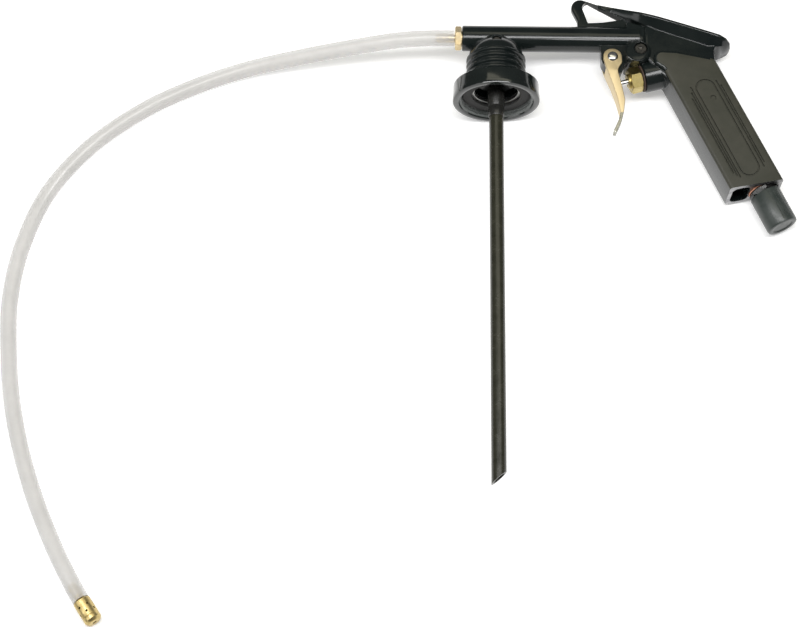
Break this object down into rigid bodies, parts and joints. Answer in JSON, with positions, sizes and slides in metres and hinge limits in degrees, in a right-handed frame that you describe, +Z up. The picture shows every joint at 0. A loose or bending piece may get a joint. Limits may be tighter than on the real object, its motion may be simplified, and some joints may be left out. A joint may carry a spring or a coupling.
{
  "type": "underbody spray gun",
  "caption": "Air-operated spray gun with a threaded can collar, suction tube, trigger valve and a flexible probe hose ending in a spray tip.",
  "frame": {"origin": "on the bench, under the middle of the box round the gun without its probe hose and tip", "axes": "+Z up from the bench the gun lies on, +Y from the suction tube's end to the barrel, +X from the collar towards the handle"},
  "size_m": [0.4361, 0.3511, 0.0481],
  "materials": {
    "casting_paint": "gloss black paint over cast aluminium",
    "collar_black": "gloss black",
    "flange_zinc": "dull zinc plate",
    "gasket_rubber": "matt black rubber",
    "tube_olive": "satin olive-black nylon",
    "sleeve_black": "satin black nylon",
    "jet_brass": "turned brass",
    "jet_nitrile": "nitrile",
    "connector_brass": "turned brass",
    "connector_nitrile": "nitrile",
    "hose_clear_nylon": "milky translucent nylon",
    "tip_brass": "turned brass",
    "trigger_yellow_zinc": "yellow passivated zinc on pressed sheet",
    "pin_steel": "bright steel",
    "clip_steel": "spring steel",
    "gland_brass": "turned brass",
    "gland_fibre": "dark fibre",
    "packing_ptfe": "white packing",
    "seat_brass": "turned brass",
    "stem_steel": "bright steel",
    "poppet_rubber": "nitrile",
    "spring_wire": "spring wire",
    "front_plug_steel": "blackened steel",
    "rear_plug_steel": "blackened steel",
    "adapter_nickel": "nickel plate",
    "washer_copper": "copper",
    "filter_bronze": "sintered bronze",
    "cap_grey": "satin dark grey plastic"
  },
  "bodies": {
    "gun": {"gun_body": "casting_paint", "siphon_flange": "flange_zinc", "can_gasket": "gasket_rubber", "suction_tube": "tube_olive", "tube_sleeve": "sleeve_black", "air_jet": "jet_brass", "jet_o_ring": "jet_nitrile", "hose_connector": "connector_brass", "connector_o_ring": "connector_nitrile", "probe_hose": "hose_clear_nylon", "spray_tip": "tip_brass", "trigger_pin": "pin_steel", "pin_clip": "clip_steel", "gland_nut": "gland_brass", "gland_washer": "gland_fibre", "stem_packing": "packing_ptfe", "valve_seat": "seat_brass", "valve_spring": "spring_wire", "front_passage_plug": "front_plug_steel", "rear_passage_plug": "rear_plug_steel", "inlet_adapter": "adapter_nickel", "inlet_washer": "washer_copper", "inlet_filter": "filter_bronze"},
    "trigger": {"trigger": "trigger_yellow_zinc"},
    "valve": {"valve_stem": "stem_steel", "poppet_seal": "poppet_rubber"},
    "collar": {"can_collar": "collar_black"},
    "cap": {"dust_cap": "cap_grey"}
  },
  "joints": [
    {"name": "trigger_pull", "type": "hinge", "parent": "gun", "child": "trigger", "pos_m": [-0.00404, 0.10373, 0.01838], "axis": [0.0887, 0, 0.9961], "range_deg": [0, 14], "stiffness_Nm_per_rad": 1, "springref_deg": -8.59},
    {"name": "valve_stroke", "type": "slide", "parent": "gun", "child": "valve", "axis": [0.9598, 0.2672, -0.0854], "range_m": [0, 0.0036], "deforming": ["valve_spring"]},
    {"name": "collar_turn", "type": "hinge", "parent": "gun", "child": "collar", "pos_m": [-0.06829, 0.08243, 0.0241], "axis": [0, 1, 0], "continuous": true},
    {"name": "cap_pull", "type": "slide", "parent": "gun", "child": "cap", "axis": [0.4099, -0.9114, -0.0365], "range_m": [0, 0.024]}
  ],
  "couplings": [
    {"joint": "valve_stroke", "follows": "trigger_pull", "m_per_rad": 0.01436}
  ]
}
